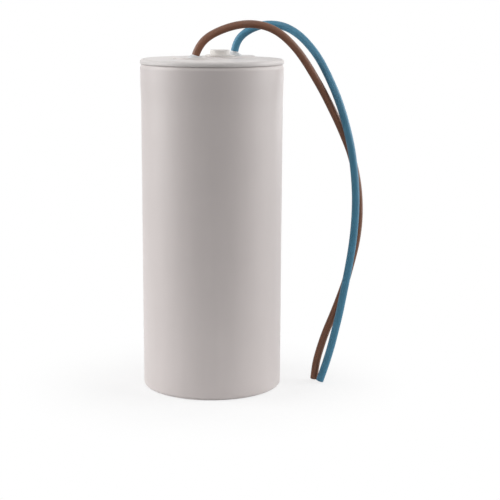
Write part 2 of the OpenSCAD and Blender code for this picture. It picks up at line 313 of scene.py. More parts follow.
def inside(spot: Vector, outline: Sequence[Vector]) -> bool:
    """Tells whether a point lies within a closed outline."""
    crossed = False
    for a, b in zip(outline, [*outline[1:], outline[0]]):
        if (a.y > spot.y) != (b.y > spot.y):
            crossed ^= spot.x < (b.x - a.x) * (spot.y - a.y) / (b.y - a.y) + a.x
    return crossed


def even_shading(piece: bpy.types.Object) -> None:
    """Lets the large faces set the shading, so that flats beside a rounding look flat."""
    weighted = piece.modifiers.new("even_shading", "WEIGHTED_NORMAL")
    weighted.keep_sharp = True
    weighted.weight = 100


# ---------------------------------------------------------------- finishes


class Nodes:
    """A node tree, with short ways to add to it."""

    def __init__(self, tree: bpy.types.NodeTree) -> None:
        """Takes the tree that the nodes go into."""
        self.tree = tree

    def add(self, kind: str, inputs: dict[str | int, object],
            **settings: object) -> bpy.types.Node:
        """Adds a node.

        Args:
            kind: The node's Blender type.
            inputs: A number, colour or socket for each input, by its name or place.
            **settings: The node's own settings.

        Returns:
            The node.
        """
        node = self.tree.nodes.new(kind)
        for key, value in settings.items():
            setattr(node, key, value)
        for key, value in inputs.items():
            self.feed(node.inputs[key], value)
        return node

    def feed(self, socket: bpy.types.NodeSocket, value: object) -> None:
        """Links a socket to another one, or sets its value."""
        if isinstance(value, bpy.types.NodeSocket):
            self.tree.links.new(value, socket)
        else:
            socket.default_value = value

    def levels(self, value: bpy.types.NodeSocket, before: Pair, after: Pair,
               **settings: object) -> bpy.types.NodeSocket:
        """Maps a range of values to another and clamps what falls outside."""
        inputs = dict(enumerate((value, *before, *after)))
        return self.add("ShaderNodeMapRange", inputs, **settings).outputs[0]


class Recipe(Nodes):
    """The nodes of one material on the usual shader."""

    def __init__(self, name: str) -> None:
        """Starts a material of this name."""
        self.material = bpy.data.materials.new(name)
        self.material.use_nodes = True
        super().__init__(self.material.node_tree)
        self.shader = self.tree.nodes["Principled BSDF"]

    def finish(self, **inputs: object) -> bpy.types.Material:
        """Sets the shader's own inputs, named with _ for a space, and gives the material."""
        for key, value in inputs.items():
            self.feed(self.shader.inputs[key.replace("_", " ")], value)
        return self.material

    def place(self, stretch: Triple = (1.0, 1.0, 1.0), lay: str = "") -> bpy.types.NodeSocket:
        """Where a point lies on the object, in millimetres.

        Args:
            stretch: What each axis is multiplied by.
            lay: The name of a mesh attribute to read in place of the object's own axes.

        Returns:
            The socket that holds the place.
        """
        if lay:
            source = self.add("ShaderNodeAttribute", {}, attribute_name=lay).outputs["Vector"]
        else:
            source = self.add("ShaderNodeTexCoord", {}).outputs["Object"]
        inputs = {0: source, 1: tuple(s / MM for s in stretch)}
        return self.add("ShaderNodeVectorMath", inputs, operation="MULTIPLY").outputs[0]

    def noise(self, place: bpy.types.NodeSocket, scale: float, detail: float = 2.0,
              roughness: float = 0.5) -> bpy.types.NodeSocket:
        """Soft noise of about 1 / scale millimetres, from 0 to 1."""
        inputs = {"Vector": place, "Scale": scale, "Detail": detail, "Roughness": roughness}
        return self.add("ShaderNodeTexNoise", inputs).outputs["Fac"]

    def cells(self, place: bpy.types.NodeSocket, scale: float) -> bpy.types.NodeSocket:
        """The distance to the middle of the nearest grain, from 0."""
        inputs = {"Vector": place, "Scale": scale}
        return self.add("ShaderNodeTexVoronoi", inputs).outputs["Distance"]

    def sums(self, operation: str, *values: object) -> bpy.types.NodeSocket:
        """One step of arithmetic on numbers or sockets."""
        inputs = dict(enumerate(values))
        return self.add("ShaderNodeMath", inputs, operation=operation).outputs[0]

    def mixed(self, a: bpy.types.NodeSocket, b: bpy.types.NodeSocket,
              share: float) -> bpy.types.NodeSocket:
        """Two patterns added up, with a share of the second."""
        return self.sums("ADD", self.sums("MULTIPLY", a, 1 - share),
                         self.sums("MULTIPLY", b, share))

    def tinted(self, tone: bpy.types.NodeSocket, colour: Triple, factors: Pair,
               span: Pair = (0.3, 0.7)) -> bpy.types.NodeSocket:
        """Spreads a pattern over a colour.

        Args:
            tone: The pattern.
            colour: The finish's own colour.
            factors: What the colour is multiplied by at the span's two ends.
            span: The pattern's values between which the colour changes.

        Returns:
            The socket that holds the colour.
        """
        node = self.add("ShaderNodeMix", {}, data_type="RGBA")
        ends = (shade(colour, factor) for factor in factors)
        for place, value in zip((0, 6, 7), (self.levels(tone, span, (0.0, 1.0)), *ends)):
            self.feed(node.inputs[place], value)
        return node.outputs[2]

    def relief(self, height: bpy.types.NodeSocket, depth: float,
               under: bpy.types.NodeSocket | None = None) -> bpy.types.NodeSocket:
        """Bump of a depth in millimetres, on top of another one where under is given."""
        inputs = {"Height": height, "Distance": depth * MM, "Strength": 1.0}
        if under is not None:
            inputs["Normal"] = under
        return self.add("ShaderNodeBump", inputs).outputs["Normal"]


def shade(colour: Triple, factor: float) -> tuple[float, float, float, float]:
    """A colour made lighter or darker, as Blender wants it."""
    return (*(min(1.0, c * factor) for c in colour), 1.0)


@dataclass(frozen=True)
class MouldedPlastic:
    """Injection-moulded polypropylene: an even satin skin over very soft waves."""

    name: str
    colour: Triple
    roughness: float = 0.42
    wear: Pair = (-0.05, 0.06)
    mottle: float = 0.02
    flow_share: float = 0.4
    grain_depth: float = 0.004
    wave_depth: float = 0.02
    ior: float = 1.49

    def material(self) -> bpy.types.Material:
        """Builds the material."""
        recipe = Recipe(self.name)
        place = recipe.place()
        clouds = recipe.noise(place, scale=0.09, detail=3.0)
        flow = recipe.noise(recipe.place((1.0, 1.0, 0.12)), scale=0.35, detail=3.0)
        colour = recipe.tinted(recipe.mixed(clouds, flow, self.flow_share), self.colour,
                               (1 - self.mottle, 1 + self.mottle))
        grain = recipe.noise(place, scale=5.0, detail=3.0, roughness=0.6)
        waves = recipe.noise(place, scale=0.12)
        handled = recipe.noise(place, scale=0.5, detail=4.0, roughness=0.6)
        polish = recipe.levels(handled, (0.35, 0.7),
                               (self.roughness + self.wear[0], self.roughness + self.wear[1]))
        under = recipe.relief(waves, self.wave_depth)
        return recipe.finish(Base_Color=colour, Roughness=polish, IOR=self.ior,
                             Normal=recipe.relief(grain, self.grain_depth, under))


@dataclass(frozen=True)
class SealingResin:
    """Clear to pale resin that was run round a lead and set with a glossy skin."""

    name: str
    colour: Triple
    tones: Pair = (0.94, 1.04)
    gloss: Pair = (0.3, 0.4)
    skin_depth: float = 0.012
    ior: float = 1.5

    def material(self) -> bpy.types.Material:
        """Builds the material."""
        recipe = Recipe(self.name)
        place = recipe.place()
        clouds = recipe.noise(place, scale=1.1, detail=3.0)
        skin = recipe.noise(place, scale=1.6)
        colour = recipe.tinted(clouds, self.colour, self.tones, (0.35, 0.65))
        polish = recipe.levels(clouds, (0.3, 0.7), self.gloss)
        return recipe.finish(Base_Color=colour, Roughness=polish,
                             IOR=self.ior, Normal=recipe.relief(skin, self.skin_depth))


@dataclass(frozen=True)
class ExtrudedPvc:
    """Insulation drawn over a twisted conductor: fine lines along it and a faint lay."""

    name: str
    colour: Triple
    tones: Pair = (0.86, 1.14)
    patch_share: float = 0.4
    roughness: float = 0.48
    wear: Pair = (-0.06, 0.08)
    strand_pitch: float = 14.0
    strand_count: int = 7
    strand_depth: float = 0.012
    line_depth: float = 0.004
    skin_depth: float = 0.002
    ior: float = 1.5

    def material(self) -> bpy.types.Material:
        """Builds the material."""
        recipe = Recipe(self.name)
        lay = recipe.place(lay="lay")
        drawn = recipe.place((1.0, 1.0, 0.03), lay="lay")
        streaks = recipe.noise(drawn, scale=1.4, detail=3.0)
        patches = recipe.noise(lay, scale=0.25, detail=3.0)
        colour = recipe.tinted(recipe.mixed(streaks, patches, self.patch_share), self.colour,
                               self.tones, (0.35, 0.65))
        lines = recipe.noise(drawn, scale=7.0)
        skin = recipe.noise(lay, scale=4.0, detail=3.0, roughness=0.6)
        polish = recipe.levels(recipe.noise(lay, scale=0.8, detail=3.0), (0.3, 0.7),
                               (self.roughness + self.wear[0], self.roughness + self.wear[1]))
        under = recipe.relief(self.strands(recipe, lay), self.strand_depth)
        under = recipe.relief(lines, self.line_depth, under)
        return recipe.finish(Base_Color=colour, Roughness=polish, IOR=self.ior,
                             Normal=recipe.relief(skin, self.skin_depth, under))

    def strands(self, recipe: Recipe, lay: bpy.types.NodeSocket) -> bpy.types.NodeSocket:
        """The ripple that the twisted strands press through the insulation."""
        parts = recipe.add("ShaderNodeSeparateXYZ", {0: lay}).outputs
        angle = recipe.sums("ARCTAN2", parts[1], parts[0])
        turn = recipe.sums("MULTIPLY", parts[2], math.tau / self.strand_pitch)
        phase = recipe.sums("MULTIPLY", recipe.sums("ADD", angle, turn), self.strand_count)
        return recipe.levels(recipe.sums("SINE", phase), (-1.0, 1.0), (0.0, 1.0))


class Grain(Enum):
    """How a metal's surface is broken up."""

    DRAWN = "drawn"
    SPRAYED = "sprayed"
    POOLED = "pooled"
    WOUND = "wound"
    TWISTED = "twisted"


@dataclass(frozen=True)
class Metal:
    """A bare metal finish."""

    name: str
    colour: Triple
    roughness: float
    grain: Grain
    depth: float
    tones: Pair = (0.82, 1.1)
    dulling: Pair = (0.8, 1.25)

    def pattern(self, recipe: Recipe) -> bpy.types.NodeSocket:
        """The height pattern of the grain, from 0 to 1."""
        if self.grain is Grain.DRAWN:
            return recipe.noise(recipe.place((6.0, 6.0, 0.3)), scale=1.5, detail=3.0)
        if self.grain is Grain.SPRAYED:
            return recipe.levels(recipe.cells(recipe.place(), scale=3.5), (0.0, 0.9), (1.0, 0.0))
        if self.grain is Grain.WOUND:
            around = recipe.place((0.15, 0.15, 3.0))
            return recipe.noise(around, scale=1.2, detail=4.0, roughness=0.6)
        if self.grain is Grain.TWISTED:
            wave = {"Vector": recipe.place((1.0, 1.0, 0.6)), "Scale": 1.6, "Distortion": 1.0}
            return recipe.add("ShaderNodeTexWave", wave, bands_direction="DIAGONAL").outputs["Fac"]
        return recipe.noise(recipe.place(), scale=0.9)

    def material(self) -> bpy.types.Material:
        """Builds the material."""
        recipe = Recipe(self.name)
        height = self.pattern(recipe)
        dulled = recipe.noise(recipe.place(), scale=0.6, detail=4.0, roughness=0.6)
        colour = recipe.tinted(recipe.mixed(height, dulled, 0.5), self.colour, self.tones,
                               (0.25, 0.75))
        polish = recipe.levels(dulled, (0.3, 0.7), (self.roughness * self.dulling[0],
                                                    self.roughness * self.dulling[1]))
        return recipe.finish(Base_Color=colour, Roughness=polish, Metallic=1.0,
                             Normal=recipe.relief(height, self.depth))


class Filler(Enum):
    """What gives a plain insulating material its texture."""

    FIBRES = "fibres"
    SETTING = "setting"
    DRAWING = "drawing"


@dataclass(frozen=True)
class Insulator:
    """Board, tube, sleeve or cast resin that is sealed inside the can."""

    name: str
    colour: Triple
    roughness: float
    filler: Filler
    tones: Pair = (0.85, 1.12)
    wear: float = 0.06
    depth: float = 0.03

    def pattern(self, recipe: Recipe) -> bpy.types.NodeSocket:
        """The texture's height and tone, from 0 to 1."""
        if self.filler is Filler.FIBRES:
            across = recipe.noise(recipe.place((5.0, 0.5, 1.0)), scale=1.0, detail=3.0)
            along = recipe.noise(recipe.place((0.5, 5.0, 1.0)), scale=1.0, detail=3.0)
            return recipe.mixed(across, along, 0.5)
        if self.filler is Filler.DRAWING:
            return recipe.noise(recipe.place((3.0, 3.0, 0.1)), scale=1.2, detail=3.0)
        return recipe.noise(recipe.place(), scale=0.4, detail=4.0)

    def material(self) -> bpy.types.Material:
        """Builds the material."""
        recipe = Recipe(self.name)
        tone = self.pattern(recipe)
        polish = recipe.levels(tone, (0.3, 0.7),
                               (self.roughness - self.wear, self.roughness + self.wear))
        return recipe.finish(Base_Color=recipe.tinted(tone, self.colour, self.tones),
                             Roughness=polish, Normal=recipe.relief(tone, self.depth))


# ---------------------------------------------------------------- pieces


def settle(piece: bpy.types.Object, node: str, material: bpy.types.Material) -> None:
    """Dresses a finished piece, seats it on the body and lets it stand for its CAD solid.

    Args:
        piece: The finished object.
        node: The CAD solid that it stands for, or nothing.
        material: The finish.
    """
    piece.data.materials.clear()
    piece.data.materials.append(material)
    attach(piece, BODY)
    if node:
        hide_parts(node)
    LOG.info("%s: %d faces", piece.name, len(piece.data.polygons))


@dataclass(frozen=True)
class LidPlan:
    """Where the leads and the filler hole pass the lid, and the lid's levels."""

    brown_exit: Pair = (-4.8, -1.0)
    blue_exit: Pair = (6.2, 11.0)
    filler_at: Pair = (2.2, 5.0)
    top: float = 94.0
    under: float = 92.5
    pad_top: float = 94.4
    lead_start: float = 83.6
    lead_r: float = 1.1


@dataclass
class CanMoulding:
    """The moulded can: wall, floor, recessed base and inner ribs."""

    plan: LidPlan
    outer_r: float = 20.0
    bore_r: float = 18.5
    floor_t: float = 1.8
    base_edge: float = 1.0
    floor_fillet: float = 0.3
    draft: float = 0.13
    rim_slope: Pair = (0.35, 0.8)
    rim_edge: float = 1.4
    lip_edges: Pair = (0.05, 0.15)
    mouth_r: float = 20.2
    mouth_z: Pair = (82.0, 88.0)
    mouth_blend: float = 60.0
    recess_r: float = 15.0
    recess_h: float = 0.5
    recess_edge: float = 0.2
    gate_r: float = 2.0
    gate_h: float = 0.4
    gate_edge: float = 0.15
    nub_r: float = 0.55
    nub_h: float = 0.2
    nub_draft: float = 0.1
    nub_edge: float = 0.08
    groove_z: Pair = (88.6, 90.0)
    groove_r: float = 18.9
    rib_count: int = 6
    rib_t: float = 1.2
    rib_top: float = 53.8
    rib_reach: float = 1.9
    foot_top: float = 4.2
    foot_reach: float = 9.0
    sink_depth: float = 0.03
    sink_width: float = 1.6
    sink_fade: float = 4.0
    sink_foot: float = 6.0
    longest: float = 3.0
    around: int = 288

    def rib_angle(self, number: int) -> float:
        """The angle at which a rib stands."""
        brown = self.plan.brown_exit
        first = math.atan2(brown[1], brown[0]) + math.pi / self.rib_count
        return first + math.tau * number / self.rib_count

    def sink(self, angle: float, r: float, z: float) -> float:
        """How far the outer wall draws in over the ribs, as thick places do when they cool."""
        past = z - self.rib_top
        if r < self.outer_r - self.draft - MATCH or past > self.sink_fade:
            return 0.0
        fade = min(1.0, (self.sink_fade - past) / (2 * self.sink_fade))
        fade *= min(1.0, z / self.sink_foot)
        away = min(abs((angle - self.rib_angle(k) + math.pi) % math.tau - math.pi)
                   for k in range(self.rib_count)) * self.outer_r
        return -self.sink_depth * fade * math.exp(-((away / self.sink_width) ** 2))

    def profile(self) -> list[Pair]:
        """The section of the wall and floor, from the base's middle round to the floor's."""
        top = self.plan.under
        gate_z = self.recess_h + self.gate_h
        outside = rounded([
            Corner(0, gate_z - self.nub_h),
            Corner(self.nub_r, gate_z - self.nub_h, self.nub_edge),
            Corner(self.nub_r + self.nub_draft, gate_z),
            Corner(self.gate_r, gate_z, self.gate_edge),
            Corner(self.gate_r, self.recess_h, self.gate_edge),
            Corner(self.recess_r, self.recess_h, self.recess_edge),
            Corner(self.recess_r, 0, self.recess_edge),
            Corner(self.outer_r - self.draft, 0, self.base_edge),
            Corner(self.outer_r, self.mouth_z[0], self.mouth_blend),
            Corner(self.mouth_r, self.mouth_z[1], self.mouth_blend),
            Corner(self.mouth_r, top - self.rim_slope[1], self.rim_edge),
            Corner(self.mouth_r - self.rim_slope[0], top, self.lip_edges[0]),
            Corner(self.bore_r, top, self.lip_edges[1]),
            Corner(self.bore_r, self.groove_z[1]), Corner(self.groove_r, self.groove_z[1]),
            Corner(self.groove_r, self.groove_z[0]), Corner(self.bore_r, self.groove_z[0]),
            Corner(self.bore_r, self.floor_t, self.floor_fillet), Corner(0, self.floor_t),
        ])
        return divided(outside, self.longest)

    def rib(self, number: int) -> Shell:
        """One rib as a closed solid: an upright with a foot, rooted in the wall and floor."""
        root_r = (self.bore_r + self.outer_r) / 2
        upright_r = self.bore_r - self.rib_reach
        foot_r = self.bore_r - self.foot_reach
        outline = [(root_r, self.floor_t / 2), (root_r, self.rib_top), (upright_r, self.rib_top),
                   (upright_r, self.foot_top), (foot_r, self.foot_top), (foot_r, self.floor_t / 2)]
        angle = self.rib_angle(number)
        out = (math.cos(angle), math.sin(angle))
        shell = Shell()
        sides = [shell.ring([(r * out[0] - half * out[1], r * out[1] + half * out[0], z)
                             for r, z in outline]) for half in (-self.rib_t / 2, self.rib_t / 2)]
        shell.bridge(*sides)
        shell.faces += [tuple(side) for side in sides]
        return shell

    def build(self, finish: MouldedPlastic) -> bpy.types.Object:
        """Makes the can."""
        shell = Shell()
        shell.lathe(self.profile(), self.around, self.sink)
        can = shell.build("moulded_can")
        for number in range(self.rib_count):
            rib = self.rib(number).build("rib")
            union = can.modifiers.new("rib", "BOOLEAN")
            union.operation, union.solver, union.object = "UNION", "EXACT", rib
            solid = can.evaluated_get(bpy.context.evaluated_depsgraph_get())
            mesh = bpy.data.meshes.new_from_object(solid)
            can.modifiers.clear()
            can.data = mesh
            bpy.data.objects.remove(rib)
        even_shading(can)
        settle(can, "can", finish.material())
        return can


@dataclass
class LidMoulding:
    """The lid: plate, pad, guide tubes for the leads, and the skirt with its snap bead."""

    plan: LidPlan
    outer_r: float = 20.25
    top_edge: float = 0.9
    seam_edge: float = 0.35
    skirt_r: float = 18.4
    skirt_t: float = 1.2
    skirt_h: float = 6.0
    skirt_edges: Pair = (0.3, 0.2)
    skirt_root: Pair = (0.4, 0.3)
    top_margin: float = 0.15
    bead_h: float = 0.4
    bead_w: float = 1.2
    bead_drop: float = 3.2
    bead_edge: float = 0.15
    pad_r: float = 6.2
    pad_foot: tuple[Pair, ...] = ((0.08, 0.0), (0.02, 0.03), (0.0, 0.1))
    pad_edge: float = 0.18
    pad_steps: int = 5
    halvings: int = 48
    hole_r: float = 1.2
    hole_mouth: float = 0.15
    guide_r: float = 2.2
    guide_len: float = 3.0
    guide_bevel: float = 0.1
    guide_root: float = 0.2
    filler_r: float = 2.5
    around: int = 288
    hole_around: int = 48

    def pad_reach(self, angle: float, inset: float) -> float:
        """How far the pad's outline lies from the axis at an angle, drawn in by inset."""
        start, end = Vector(self.plan.brown_exit), Vector(self.plan.blue_exit)
        span = end - start
        ray = Vector((math.cos(angle), math.sin(angle)))
        low, high = 0.0, self.outer_r * 2
        for _ in range(self.halvings):
            middle = (low + high) / 2
            spot = ray * middle
            share = min(1.0, max(0.0, (spot - start).dot(span) / span.length_squared))
            if (spot - start - span * share).length < self.pad_r - inset:
                low = middle
            else:
                high = middle
        return low

    def pad_ring(self, shell: Shell, inset: float, z: float) -> list[int]:
        """Adds the pad's outline at a height."""
        turns = [math.tau * k / self.around for k in range(self.around)]
        reach = [self.pad_reach(a, inset) for a in turns]
        return shell.ring([(d * math.cos(a), d * math.sin(a), z) for a, d in zip(turns, reach)])

    def pad(self, shell: Shell) -> tuple[list[int], list[int]]:
        """Adds the pad's side and rounded edge, and gives its foot and top rings."""
        plan = self.plan
        rings = [self.pad_ring(shell, -out, plan.top + up) for out, up in self.pad_foot]
        for step in range(self.pad_steps + 1):
            angle = math.pi / 2 * step / self.pad_steps
            rings.append(self.pad_ring(shell, self.pad_edge * (1 - math.cos(angle)),
                                       plan.pad_top - self.pad_edge * (1 - math.sin(angle))))
        shell.bridge_all(rings)
        return rings[0], rings[-1]

    def skirt_profile(self) -> list[Pair]:
        """The section from the plate's flat top out, round the flange and the skirt."""
        plan = self.plan
        bead_z = plan.under - self.bead_drop
        bore_r = self.skirt_r - self.skirt_t
        return rounded([
            Corner(self.outer_r - self.top_edge - self.top_margin, plan.top),
            Corner(self.outer_r, plan.top, self.top_edge),
            Corner(self.outer_r, plan.under, self.seam_edge),
            Corner(self.skirt_r, plan.under),
            Corner(self.skirt_r, bead_z + self.bead_w / 2),
            Corner(self.skirt_r + self.bead_h, bead_z, self.bead_edge),
            Corner(self.skirt_r, bead_z - self.bead_w / 2),
            Corner(self.skirt_r, plan.under - self.skirt_h, self.skirt_edges[0]),
            Corner(bore_r, plan.under - self.skirt_h, self.skirt_edges[1]),
            Corner(bore_r, plan.under, self.skirt_root[1]),
            Corner(bore_r - self.skirt_root[0], plan.under),
        ])

    def lead_hole(self, shell: Shell, centre: Pair) -> tuple[list[int], list[int]]:
        """Adds a lead hole with its guide tube, and gives its rings on the pad and underneath."""
        plan = self.plan
        tube_end = plan.under - self.guide_len
        sizes = [(self.hole_r + self.hole_mouth, plan.pad_top),
                 (self.hole_r, plan.pad_top - self.hole_mouth), (self.hole_r, tube_end),
                 (self.guide_r - self.guide_bevel, tube_end),
                 (self.guide_r, tube_end + self.guide_bevel),
                 (self.guide_r, plan.under - self.guide_root),
                 (self.guide_r + self.guide_root, plan.under)]
        rings = [shell.circle(r, z, self.hole_around, centre) for r, z in sizes]
        shell.bridge_all(rings)
        return rings[0], rings[-1]

    def filler_hole(self, shell: Shell) -> tuple[list[int], list[int]]:
        """Adds the filler hole, and gives its rings on the pad and underneath."""
        plan = self.plan
        rings = [shell.circle(self.filler_r, z, self.hole_around, plan.filler_at)
                 for z in (plan.pad_top, plan.under)]
        shell.bridge_all(rings)
        return rings[0], rings[-1]

    def build(self, finish: MouldedPlastic) -> bpy.types.Object:
        """Makes the lid."""
        shell = Shell()
        foot, pad_top = self.pad(shell)
        skirt = shell.lathe(self.skirt_profile(), self.around)
        shell.bridge(foot, skirt[0])
        holes = [self.lead_hole(shell, self.plan.brown_exit),
                 self.lead_hole(shell, self.plan.blue_exit), self.filler_hole(shell)]
        shell.floor(pad_top, [above for above, _ in holes])
        shell.floor(skirt[-1], [below for _, below in holes])
        lid = shell.build("moulded_lid")
        even_shading(lid)
        settle(lid, "lid", finish.material())
        return lid


@dataclass
class FillerPlug:
    """The push-in plug of the filler hole."""

    plan: LidPlan
    stem_r: float = 2.45
    stem_len: float = 1.9
    barb_r: float = 2.75
    barb_len: float = 1.4
    flange_r: float = 4.2
    flange_t: float = 0.5
    head_r: float = 2.85
    head_h: float = 1.4
    head_edge: float = 0.35
    dimple_r: Pair = (0.5, 0.65)
    dimple_h: float = 0.06
    edge: float = 0.1
    fillet: float = 0.15
    blend: float = 0.2
    lip: float = 0.05
    draft: float = 0.06
    around: int = 96

    def profile(self) -> list[Pair]:
        """The plug's section, with heights from the pad's top, from the head's middle down."""
        head_top = self.flange_t + self.head_h
        tip = -self.stem_len - self.barb_len
        return rounded([
            Corner(0, head_top - self.dimple_h),
            Corner(self.dimple_r[0], head_top - self.dimple_h, self.edge),
            Corner(self.dimple_r[1], head_top, self.edge),
            Corner(self.head_r - self.draft, head_top, self.head_edge),
            Corner(self.head_r, self.flange_t, self.fillet),
            Corner(self.flange_r, self.flange_t, self.blend),
            Corner(self.flange_r, 0, self.edge),
            Corner(self.stem_r, 0),
            Corner(self.stem_r, -self.stem_len),
            Corner(self.barb_r, -self.stem_len - self.lip, self.lip),
            Corner(self.stem_r, tip, self.blend),
            Corner(0, tip),
        ])

    def build(self, finish: MouldedPlastic) -> bpy.types.Object:
        """Makes the plug."""
        shell = Shell()
        shell.lathe(self.profile(), self.around)
        x, y = self.plan.filler_at
        shell.points = [(px + x, py + y, pz + self.plan.pad_top) for px, py, pz in shell.points]
        plug = shell.build("push_in_plug")
        even_shading(plug)
        settle(plug, "filler_plug", finish.material())
        return plug


@dataclass
class Lead:
    """A flexible lead: insulation cut square at its end, over a twisted copper conductor."""

    colour_name: str
    exit: Pair
    route: tuple[Triple, ...]
    plan: LidPlan
    spacing: float = 0.5
    passes: int = 14
    around: int = 24
    bore_r: float = 0.6
    bore_depth: float = 1.6
    end_bevel: float = 0.05
    strand_r: float = 0.104
    strand_twist: float = 0.45
    strand_gap: float = 1.02
    strand_layers: tuple[tuple[int, int], ...] = ((1, 6), (2, 12))
    strand_nest: float = 0.92
    strand_sunk: Triple = (0.06, 0.05, 2.4)
    strand_tip: float = 0.9
    strand_root: float = 0.2
    strand_steps: int = 4
    strand_sides: int = 10
    line: np.ndarray = field(init=False)

    def __post_init__(self) -> None:
        """Works out the lead's centreline."""
        plan = self.plan
        middle = (plan.lead_start + plan.pad_top) / 2
        inner = [(*self.exit, z) for z in (plan.lead_start, middle, plan.pad_top)]
        self.line = relaxed(even_curve([*inner, *self.route], self.spacing),
                            plan.pad_top, self.passes)

    def length(self) -> float:
        """The lead's length along its centreline, in millimetres."""
        return float(np.linalg.norm(np.diff(self.line, axis=0), axis=1).sum())

    def insulation(self, finish: ExtrudedPvc) -> bpy.types.Object:
        """Makes the insulation as one tube with an open bore at its cut end."""
        along = directions(self.line)
        across, up = carried_frames(along)
        turns = np.linspace(0, math.tau, self.around, endpoint=False)
        steps = np.linalg.norm(np.diff(self.line, axis=0), axis=1)
        reach = np.concatenate([[0], np.cumsum(steps)])
        shell, lay = Shell(), []

        def add(at: int, r: float, back: float = 0.0) -> list[int]:
            """Adds a ring of radius r at a point of the line, set back along it."""
            centre = self.line[at] - along[at] * back
            lay.extend((r * math.cos(a) * MM, r * math.sin(a) * MM, (reach[at] - back) * MM)
                       for a in turns)
            return shell.ring([centre + r * (math.cos(a) * across[at] + math.sin(a) * up[at])
                               for a in turns])

        r, last = self.plan.lead_r, len(self.line) - 1
        rings = [add(k, r) for k in range(last)]
        rings += [add(last, r, self.end_bevel), add(last, r - self.end_bevel),
                  add(last, self.bore_r), add(last, self.bore_r, self.bore_depth)]
        shell.bridge_all(rings)
        shell.close(rings[0])
        lay.append((0.0, 0.0, 0.0))
        shell.close(rings[-1])
        lay.append((0.0, 0.0, (reach[-1] - self.bore_depth) * MM))
        piece = shell.build(f"{self.colour_name}_lead", sharp_from=50.0)
        table = piece.data.attributes.new("lay", "FLOAT_VECTOR", "POINT")
        table.data.foreach_set("vector", np.array(lay, np.float32).ravel())
        settle(piece, f"lead_{self.colour_name}", finish.material())
        return piece

    def strands(self, finish: Metal) -> bpy.types.Object:
        """Makes the cut ends of the copper strands, packed in the bore."""
        along = directions(self.line)[-1]
        across, up = (v[0] for v in carried_frames(along[None, :]))
        end = self.line[-1]
        shell = Shell()
        pitch = 2 * self.strand_r * self.strand_gap
        base, swing, beat = self.strand_sunk
        spots = [(0.0, 0.0)]
        for layer, count in self.strand_layers:
            spots += [(layer * pitch * (1.0 if k % 2 == 0 or layer == 1 else self.strand_nest),
                       math.tau * k / count) for k in range(count)]
        for number, (reach, angle) in enumerate(spots):
            sunk = base + swing * math.sin(number * beat)
            rings = []
            for step in range(self.strand_steps + 1):
                back = sunk + (self.bore_depth - self.strand_root - sunk) * step / self.strand_steps
                turn = angle + self.strand_twist * back
                aside = math.cos(turn) * across + math.sin(turn) * up
                centre = end - along * back + reach * aside
                r = self.strand_r * (self.strand_tip if step == 0 else 1.0)
                rings.append(shell.ring([
                    centre + r * (math.cos(a) * across + math.sin(a) * up)
                    for a in np.linspace(0, math.tau, self.strand_sides, endpoint=False)]))
            shell.bridge_all(rings)
            shell.close(rings[0])
            shell.close(rings[-1])
        piece = shell.build(f"{self.colour_name}_strands", sharp_from=50.0)
        settle(piece, "", finish.material())
        return piece

    def build(self, finish: ExtrudedPvc, copper: Metal) -> bpy.types.Object:
        insulation, strands = self.insulation(finish), self.strands(copper)
        LOG.info("%s: %.1f mm long", insulation.name, self.length())
        return insulation


@dataclass
class LeadSeal:
    """The bead of resin that climbs a lead where it leaves the lid."""

    lead: Lead
    height: float
    foot: float
    turn: float
    waves: tuple[Triple, ...] = ((0.10, 2, 1), (0.06, 3, -1), (0.03, 7, 2))
    slope: float = 2.1
    film: float = 0.03
    overlap: float = 0.05
    seat: float = 0.02
    crowding: float = 1.5
    steps: int = 12
    around: int = 60

    def radius(self, share: float, angle: float) -> float:
        """The bead's radius at a share of its height, with the uneven outline of a run."""
        uneven = sum(size * math.sin(count * angle + shift * self.turn)
                     for size, count, shift in self.waves)
        spread = self.foot * (1 + uneven * (1 - share)) * (1 - share) ** self.slope
        return self.lead.plan.lead_r + self.film + spread

    def build(self, finish: SealingResin) -> bpy.types.Object:
        """Makes the bead."""
        plan, line = self.lead.plan, self.lead.line
        first = int(np.argmax(line[:, 2] >= plan.pad_top))
        along = directions(line)
        shell = Shell()

        def add(share: float, radius: Callable[[float], float]) -> list[int]:
            """Adds a ring at a share of the bead's height."""
            at = first + share * self.height / self.lead.spacing
            k = int(at)
            centre = line[k] + (line[k + 1] - line[k]) * (at - k)
            lean = np.array([0, 0, 1.0]) * (1 - share) + along[k] * share
            lean = lean / np.linalg.norm(lean)
            across, up = (v[0] for v in carried_frames(lean[None, :]))
            turns = np.linspace(0, math.tau, self.around, endpoint=False)
            if share == 0:
                centre = np.array([*self.lead.exit, plan.pad_top - self.seat])
            return shell.ring([centre + radius(a) * (math.cos(a) * across + math.sin(a) * up)
                               for a in turns])

        shares = [(k / self.steps) ** self.crowding for k in range(self.steps + 1)]
        rings = [add(s, lambda a, s=s: self.radius(s, a)) for s in shares]
        inner = plan.lead_r - self.overlap
        rings += [add(1.0, lambda a: inner), add(0.0, lambda a: inner)]
        shell.bridge_all(rings)
        shell.bridge(rings[-1], rings[0])
        name = self.lead.colour_name
        piece = shell.build(f"{name}_sealing_bead", sharp_from=60.0)
        settle(piece, f"lead_seal_{name}", finish.material())
        return piece


@dataclass(frozen=True)
class InnerPieces:
    """The pieces that the can holds inside. They keep their CAD solids."""

    finishes: dict[str, Metal | Insulator]

    def dress(self) -> None:
        """Gives each inner solid its finish."""
        made = {}
        for node, finish in self.finishes.items():
            if finish.name not in made:
                made[finish.name] = finish.material()
            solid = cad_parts[node]
            for slot in solid.material_slots:
                slot.material = made[finish.name]
            LOG.info("%s: dressed as %s", node, finish.name)


# ---------------------------------------------------------------- studio


